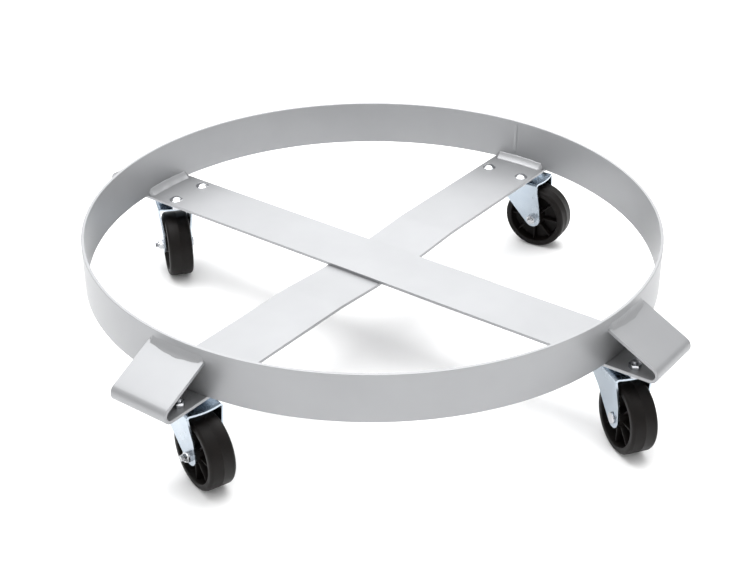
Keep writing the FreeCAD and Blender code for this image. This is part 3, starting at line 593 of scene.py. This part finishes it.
def straight_bead(section, root, length, place):
    """A bead along the local Z axis, from a section of (x, y) points."""
    bm = bmesh.new()
    verts = [bm.verts.new((x * MM, y * MM, -length / 2 * MM)) for x, y in section]
    face = bm.faces.new(verts)
    steps = max(int(length / RIPPLE * 6), 8)
    for _ in range(steps):
        made = bmesh.ops.extrude_face_region(bm, geom=[face])["geom"]
        face = next(item for item in made if isinstance(item, bmesh.types.BMFace))
        moved = [item for item in made if isinstance(item, bmesh.types.BMVert)]
        bmesh.ops.translate(bm, verts=moved, vec=(0, 0, length / steps * MM))
    inner = [item for item in bm.faces if len(item.verts) == len(section)]
    bmesh.ops.delete(bm, geom=inner[1:-1], context="FACES_ONLY")
    for vert in bm.verts:
        size = max(swell(vert.co.z / MM, length / 2), 0.05)
        vert.co.x = (root[0] + (vert.co.x / MM - root[0]) * size) * MM
        vert.co.y = (root[1] + (vert.co.y / MM - root[1]) * size) * MM
    bm.transform(place)
    return bm


def node_centre(node):
    """The middle of a CAD part's box."""
    low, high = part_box(node)
    return (low + high) / 2


def seam_bead():
    """The dressed butt weld on the ring's inner face."""
    middle = node_centre("ring_seam_weld")
    low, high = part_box("ring_seam_weld")
    direction = math.atan2(middle.y, middle.x)
    shoulder = -SEAM_PROUD * 0.8
    section = [
        (SEAM_SUNK, -SEAM_HALF),
        (0, -SEAM_HALF),
        (shoulder, -SEAM_SHOULDER),
        (-SEAM_PROUD, 0),
        (shoulder, SEAM_SHOULDER),
        (0, SEAM_HALF),
        (SEAM_SUNK, SEAM_HALF),
    ]
    place = Matrix.Rotation(direction, 4, "Z") @ Matrix.Translation((RING_INNER * MM, 0, middle.z))
    bm = straight_bead(section, (SEAM_SUNK, 0), (high.z - low.z) / MM, place)
    return as_piece(bm, "seam_weld_bead", "frame", SILVER, ["ring_seam_weld"], sharp=60)


seam_bead()
wear("crossing_welds", SILVER)
seam = node_centre("ring_seam_weld")
print("seam at", round(math.degrees(math.atan2(seam.y, seam.x)), 1), "degrees")

# %% [markdown]
# ## Bolts and nuts
# The inner bolts have low round heads, so a drum's rim slides over them. The outer ones stand the
# other way up, head below the caster's plate and nut on top. Their threads are cut as real helices,
# because a bare plain rod above a nut is the first thing that looks wrong.

# %% Bolts
BOLT_RADIUS = 3.175
BOLT_PITCH = 1.27
INNER_LOW, INNER_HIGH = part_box("inner_carriage_bolts")
OUTER_LOW, OUTER_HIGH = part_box("outer_hex_bolts")
BOLT_SIDE = 44.45 / 2
HEX_HEAD_RISE = 4
HEX_FLATS = 11.1
HEAD_RADIUS = 7.4
HEAD_RISE = INNER_HIGH.z / MM
INNER_OUT = INNER_HIGH.x / MM - HEAD_RADIUS


def bolt_spots(out):
    """Where the bolts stand: a pair at each bar's end, this far from the centre."""
    spots = []
    for quarter in QUARTERS:
        for side in (-BOLT_SIDE, BOLT_SIDE):
            spots.append(Matrix.Rotation(quarter, 4, "Z") @ Matrix.Translation(Vector((out, side, 0)) * MM))
    return spots


def round_head_bolt():
    """A round-headed bolt, its head on the bar's top face and its thread below the plate."""
    bm = bmesh.new()
    crown = (HEAD_RADIUS ** 2 + HEAD_RISE ** 2) / (2 * HEAD_RISE)
    tilt = math.degrees(math.asin((HEAD_RADIUS - 0.4) / crown))
    dome = arc((0, HEAD_RISE - crown), crown, 90 - tilt, 90, 10)
    profile = [(0, -0.2), (HEAD_RADIUS - 0.3, 0), (HEAD_RADIUS, 0.35)] + dome
    spin_profile(bm, profile, 40)
    low = INNER_LOW.z / MM
    stem = thread(BOLT_RADIUS, BOLT_PITCH, low, -6)
    add_copy(bm, stem, Matrix.Identity(4))
    stem.free()
    return bm


def spread(part, places):
    """Copies one bmesh to every place and frees it."""
    bm = bmesh.new()
    for place in places:
        add_copy(bm, part, place)
    part.free()
    return bm


inner = spread(round_head_bolt(), bolt_spots(INNER_OUT))
as_piece(inner, "round_head_bolts", "frame", BRIGHT_ZINC,
         ["inner_carriage_bolts"], sharp=50)

# %% Hexagon bolts and all the frame's nuts
def outer_bolts():
    """Hexagon heads from the CAD part, with threaded shanks that stand out of the nuts."""
    head_top = OUTER_LOW.z / MM + HEX_HEAD_RISE
    bm = cad_copy("outer_hex_bolts")
    cut_flat(bm, head_top, keep_below=True)
    heads = as_piece(bm, "hex_heads", "frame", BRIGHT_ZINC, ["outer_hex_bolts"])
    soften(heads, 0.2)
    out = OUTER_HIGH.x / MM - HEX_FLATS / 2
    stems = spread(thread(BOLT_RADIUS, BOLT_PITCH, head_top, OUTER_HIGH.z / MM), bolt_spots(out))
    return as_piece(stems, "hex_bolt_threads", "frame", BRIGHT_ZINC, sharp=50)


def refined(node, name, body, material, edge):
    """A CAD part with its edges rounded, where its shape is already the real one."""
    piece = as_piece(cad_copy(node), name, body, material, [node], recalculate=False)
    soften(piece, edge)
    return piece


outer_bolts()
refined("inner_nuts", "nuts_under_plates", "frame", BRIGHT_ZINC, 0.2)
refined("outer_nuts", "nuts_on_bars", "frame", BRIGHT_ZINC, 0.2)
print("bolts:", 2 * len(bolt_spots(0)))

# %% [markdown]
# ## The casters
# Each caster has its own working axes: the kingpin upright, and the axle behind it. The frame's
# joints give both, so every part of a caster is made once in the caster's own axes and then placed.

# %% Caster axes
def swivel_place(end):
    """The caster's own axes on its kingpin, X towards the axle and Z up."""
    pin = Vector(JOINTS[f"{end}_swivel"]["pos_m"])
    axle = Vector(JOINTS[f"{end}_wheel_roll"]["pos_m"])
    heading = math.atan2(axle.y - pin.y, axle.x - pin.x)
    return Matrix.Translation((pin.x, pin.y, 0)) @ Matrix.Rotation(heading, 4, "Z")


def axle_place(end):
    """Axes at the wheel's centre, Z along the axle from its nut to its head."""
    axle = Vector(JOINTS[f"{end}_wheel_roll"]["pos_m"])
    along = (node_centre(f"{end}_axle_bolt") - node_centre(f"{end}_axle_nut")).normalized()
    across = Vector((0, 0, 1)).cross(along)
    turned = Matrix((across, Vector((0, 0, 1)), along)).transposed().to_4x4()
    return Matrix.Translation(axle) @ turned


for end in ENDS:
    print(end, "axle at", [round(value, 4) for value in axle_place(end).translation])

# %% [markdown]
# ## The fork
# The fork is one pressing. The CAD part already has its outline, bends and dome, so a merged copy of
# it gets what pressing leaves: rounded edges, and the shallow upright crease that stiffens each leg.
# The crease is cut in along its three lines, pulled outwards at the middle one, and fades out above
# the axle, where the leg must be flat under the bolt's head.

# %% Forks
CREASE = [(17, 0), (21, 0.9), (34, 0)]
CREASE_FADE = [-46, -51]
LEG_TOP = -17
LEG_INNER = 13


def crease_height(distance):
    """How far the crease stands out of the leg at a distance from the kingpin, in millimetres."""
    for (start, low), (end, high) in zip(CREASE, CREASE[1:]):
        if start <= distance <= end:
            return low + (high - low) * (distance - start) / (end - start)
    return 0


def press_crease(bm):
    """Cuts each leg along the crease's lines and pulls the steel between them outwards."""
    cuts = [((distance * MM, 0, 0), (1, 0, 0)) for distance, _ in CREASE]
    cuts += [((0, 0, height * MM), (0, 0, 1)) for height in CREASE_FADE]
    for spot, facing in cuts:
        geometry = bm.verts[:] + bm.edges[:] + bm.faces[:]
        bmesh.ops.bisect_plane(bm, geom=geometry, dist=CUT_GAP, plane_co=spot, plane_no=facing)
    full, none = CREASE_FADE
    for vert in bm.verts:
        height = vert.co.z / MM
        share = min(1.0, max(0.0, (height - none) / (full - none)))
        if height < LEG_TOP and abs(vert.co.y / MM) > LEG_INNER:
            vert.co.y += math.copysign(crease_height(vert.co.x / MM) * share * MM, vert.co.y)


def pressed_fork(end):
    """One caster's fork, with rounded edges and creased legs."""
    bm = cad_copy(f"{end}_fork")
    place = swivel_place(end)
    bm.transform(place.inverted())
    press_crease(bm)
    name = f"{end}_pressed_fork"
    fork = as_piece(bm, name, f"{end}_fork_body", PRESSED_ZINC, [f"{end}_fork"], place,
                    recalculate=False)
    soften(fork, 0.35)
    return fork


for end in ENDS:
    pressed_fork(end)
print("forks:", len(ENDS))

# %% [markdown]
# ## Plates, kingpins and bearings
# The top plate, kingpin, washer, balls and sleeve are seen only in slivers, from the side or from
# below. Their CAD shapes are right, so the plates and kingpins get rounded edges and the rest only
# their finish.

# %% Plates and bearings
for end in ENDS:
    refined(f"{end}_top_plate", f"{end}_caster_plate", "frame", PRESSED_ZINC, 0.3)
    refined(f"{end}_kingpin", f"{end}_kingpin_rivet", "frame", PRESSED_ZINC, 0.2)
    for part, finish in (("race_washer", PRESSED_ZINC), ("axle_sleeve", BRIGHT_ZINC),
                         ("upper_balls", BEARING_STEEL), ("lower_balls", BEARING_STEEL)):
        wear(f"{end}_{part}", finish)
print("bearings finished")

# %% [markdown]
# ## The wheels
# A one-piece moulded wheel is a turned shape with ribs. Its tread is a hair higher at the mould's
# parting line, its rim has a rounded lip, and draft lets it leave the mould: every wall leans a
# little. The profile is spun once, and the ribs are drafted blocks sunk into the web, rim and hub.

# %% Wheels
wheel_low, wheel_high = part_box("east_wheel")
WHEEL_RADIUS = (wheel_high.z - wheel_low.z) / 2 / MM
WHEEL_HALF = 27.5 / 2
SHOULDER = 3.5
LIP_INNER = 30
WEB_HALF = 3.5
HUB_RADIUS = 9.5
HUB_HALF = 14.2
BORE = 4.82
WHEEL_STEPS = 96
PARTING_RISE = 0.18
RIBS = 8
RIB_THICK = 2.4
RIB_BELOW_SIDE = 3
RIB_DRAFT = 0.7


def wheel_half_profile():
    """The section from the parting line round the shoulder and over the side to the bore."""
    low_tread = WHEEL_RADIUS - PARTING_RISE
    shoulder = arc((low_tread - SHOULDER, WHEEL_HALF - SHOULDER), SHOULDER, 0, 90, 8)
    lip = arc((LIP_INNER + 1.2, WHEEL_HALF - 1.2), 1.2, 90, 180, 5)
    web_corner = arc((LIP_INNER - 3.2, WEB_HALF + 1.6), 1.6, 0, -90, 5)
    hub_corner = arc((HUB_RADIUS + 3, WEB_HALF + 1.6), 1.6, -90, -180, 5)
    hub_edge = arc((HUB_RADIUS - 0.7, HUB_HALF - 0.7), 0.7, 0, 90, 3)
    return ([(WHEEL_RADIUS, 0), (WHEEL_RADIUS, 0.25), (low_tread, 0.55)] + shoulder + lip + web_corner
            + hub_corner + hub_edge + [(BORE + 0.5, HUB_HALF), (BORE, HUB_HALF - 0.5), (BORE, 0)])


def rib_block():
    """One drafted rib along X, through the web, thinner towards both its free edges."""
    bm = bmesh.new()
    bmesh.ops.create_cube(bm, size=1)
    inner, outer, reach = HUB_RADIUS - 0.6, LIP_INNER - 0.6, WHEEL_HALF - RIB_BELOW_SIDE
    bmesh.ops.scale(bm, verts=bm.verts, vec=Vector((outer - inner, RIB_THICK, 2 * reach)) * MM)
    bmesh.ops.translate(bm, verts=bm.verts, vec=((inner + outer) / 2 * MM, 0, 0))
    middle = [edge for edge in bm.edges if abs(edge.verts[0].co.z - edge.verts[1].co.z) > reach * MM]
    bmesh.ops.subdivide_edges(bm, edges=middle, cuts=1)
    for vert in bm.verts:
        if abs(vert.co.z) > WEB_HALF * MM:
            vert.co.y *= RIB_DRAFT
    rim = [edge for edge in bm.edges if all(abs(vert.co.z) > WEB_HALF * MM for vert in edge.verts)]
    bmesh.ops.bevel(bm, geom=rim, offset=0.5 * MM, segments=2, affect="EDGES", profile=0.5, material=-1)
    return bm


def moulded_wheel(end):
    """One wheel, turned section and ribs, about its own axle."""
    bm = bmesh.new()
    half = wheel_half_profile()
    other = [(radius, -height) for radius, height in reversed(half[1:-1])]
    spin_profile(bm, half + other, WHEEL_STEPS, closed=True)
    turns = [Matrix.Rotation(math.tau * index / RIBS, 4, "Z") for index in range(RIBS)]
    ribs = spread(rib_block(), turns)
    add_copy(bm, ribs, Matrix.Identity(4))
    ribs.free()
    name = f"{end}_moulded_wheel"
    return as_piece(bm, name, f"{end}_wheel_body", WHEEL_PLASTIC, [f"{end}_wheel"],
                    axle_place(end))


for end in ENDS:
    moulded_wheel(end)
print(f"wheels {2 * WHEEL_RADIUS:.0f} mm across, {2 * WHEEL_HALF:.1f} mm wide")

# %% [markdown]
# ## Axle bolts and lock nuts
# The axle bolt has a low round head. Its thread just shows past the lock nut on the other leg.

# %% Axles
LEG_HALF = 16.6
AXLE_RADIUS = 3
AXLE_PITCH = 1.0
AXLE_HEAD_RADIUS = 5.8
AXLE_HEAD_RISE = 2.2
AXLE_HEAD_ROUND = 0.8
NUT_RISE = 6
PAST_NUT = 3
AXLE_END = LEG_HALF + NUT_RISE + PAST_NUT


def axle_bolt(end):
    """The round-headed axle bolt, threaded for its last stretch."""
    bm = bmesh.new()
    top = LEG_HALF + AXLE_HEAD_RISE
    corner = (AXLE_HEAD_RADIUS - AXLE_HEAD_ROUND, top - AXLE_HEAD_ROUND)
    rim = [(0, LEG_HALF - 0.1), (5.6, LEG_HALF), (AXLE_HEAD_RADIUS, LEG_HALF + 0.3)]
    profile = rim + arc(corner, AXLE_HEAD_ROUND, 0, 90, 4) + [(2, top - 0.15), (0, top - 0.15)]
    spin_profile(bm, profile, 40)
    stem = bmesh.new()
    foot = -LEG_HALF + 1
    rod = [(0, foot), (AXLE_RADIUS, foot), (AXLE_RADIUS, LEG_HALF), (0, LEG_HALF)]
    spin_profile(stem, rod, 32)
    screw = thread(AXLE_RADIUS, AXLE_PITCH, -AXLE_END, -LEG_HALF + 1.2)
    for part in (stem, screw):
        add_copy(bm, part, Matrix.Identity(4))
        part.free()
    return as_piece(bm, f"{end}_round_head_axle", f"{end}_fork_body", BRIGHT_ZINC,
                    [f"{end}_axle_bolt"], axle_place(end), sharp=50)


for end in ENDS:
    axle_bolt(end)
    refined(f"{end}_axle_nut", f"{end}_lock_nut", f"{end}_fork_body", BRIGHT_ZINC, 0.2)
print("axles:", len(ENDS))

# %% [markdown]
# ## Floor, light and camera
# A plain pale floor, a bright sky-like dome and large soft lamps make the plain look of a product
# shot. The tops of the bars mirror the bright screen behind the dolly, and the ring's walls mirror
# the floor, which is why the one is lighter than the other.

# %% Floor
def matt_white_floor():
    """Matt white card: the eye sees only where it is a little in the shade."""
    material, tree = new_material("matt_white_card")
    fibres = blotches(tree, 60)
    links = {"Base Color": two_tones(tree, fibres, "#f8f8f8", "#fbfbfb")}
    surface(tree, {"Roughness": 0.9, "IOR": 1.3}, links)
    return material


def floor(level, reach=6):
    """A flat sheet of card that the dolly stands on."""
    bm = bmesh.new()
    bmesh.ops.create_grid(bm, x_segments=1, y_segments=1, size=reach)
    bmesh.ops.translate(bm, verts=bm.verts, vec=(0, 0, level))
    mesh = bpy.data.meshes.new("floor")
    bm.to_mesh(mesh)
    bm.free()
    mesh.materials.append(matt_white_floor())
    card = bpy.data.objects.new("floor", mesh)
    bpy.context.scene.collection.objects.link(card)


floor(cad_low.z)
print("floor at", round(cad_low.z, 4))

# %% Light
def sky(top, horizon):
    """A dome that is brightest overhead."""
    world = bpy.data.worlds.new("studio")
    bpy.context.scene.world = world
    world.use_nodes = True
    tree = world.node_tree
    tree.nodes.clear()
    where = add_node(tree, "ShaderNodeTexCoord").outputs["Generated"]
    split = add_node(tree, "ShaderNodeSeparateXYZ", links={"Vector": where})
    values = {"From Min": 0.0, "From Max": 0.7, "To Min": horizon, "To Max": top}
    level = add_node(tree, "ShaderNodeMapRange", values, {"Value": split.outputs["Z"]})
    dome = add_node(tree, "ShaderNodeBackground", links={"Strength": level.outputs["Result"]})
    add_node(tree, "ShaderNodeOutputWorld", links={"Surface": dome.outputs["Background"]})


def soft_lamp(name, power, size, place, aim=(0, 0, 0)):
    """A square soft light that faces a point."""
    lamp = bpy.data.lights.new(name, "AREA")
    lamp.energy = power
    lamp.size = size
    holder = bpy.data.objects.new(name, lamp)
    holder.location = place
    holder.rotation_euler = (Vector(place) - Vector(aim)).to_track_quat("Z", "Y").to_euler()
    bpy.context.scene.collection.objects.link(holder)


sky(top=1.25, horizon=0.8)
soft_lamp("overhead", 78, 2.6, (0.0, 0.3, 2.6))
soft_lamp("back_screen", 34, 2.4, (-1.5, 2.1, 1.6))
soft_lamp("left_screen", 36, 1.6, (-1.5, 0.0, 2.5))
soft_lamp("front_fill", 3, 1.6, (1.6, -1.9, 1.6))
bpy.context.scene.view_settings.view_transform = "Standard"
print("lamps: 4")

# %% Camera
CAMERA_AT = Vector((0.8359, -1.1235, 0.777))
AZIMUTH = 36.54
ELEVATION = 29.9
LENS = 72.1


def camera():
    """The camera looks down at the dolly from the front, between two casters."""
    data = bpy.data.cameras.new("camera")
    data.lens = LENS
    data.sensor_width = 36
    eye = bpy.data.objects.new("camera", data)
    eye.location = CAMERA_AT
    eye.rotation_euler = (math.radians(90 - ELEVATION), 0, math.radians(AZIMUTH))
    bpy.context.scene.collection.objects.link(eye)
    bpy.context.scene.camera = eye


camera()
print("camera", [round(value, 3) for value in CAMERA_AT])
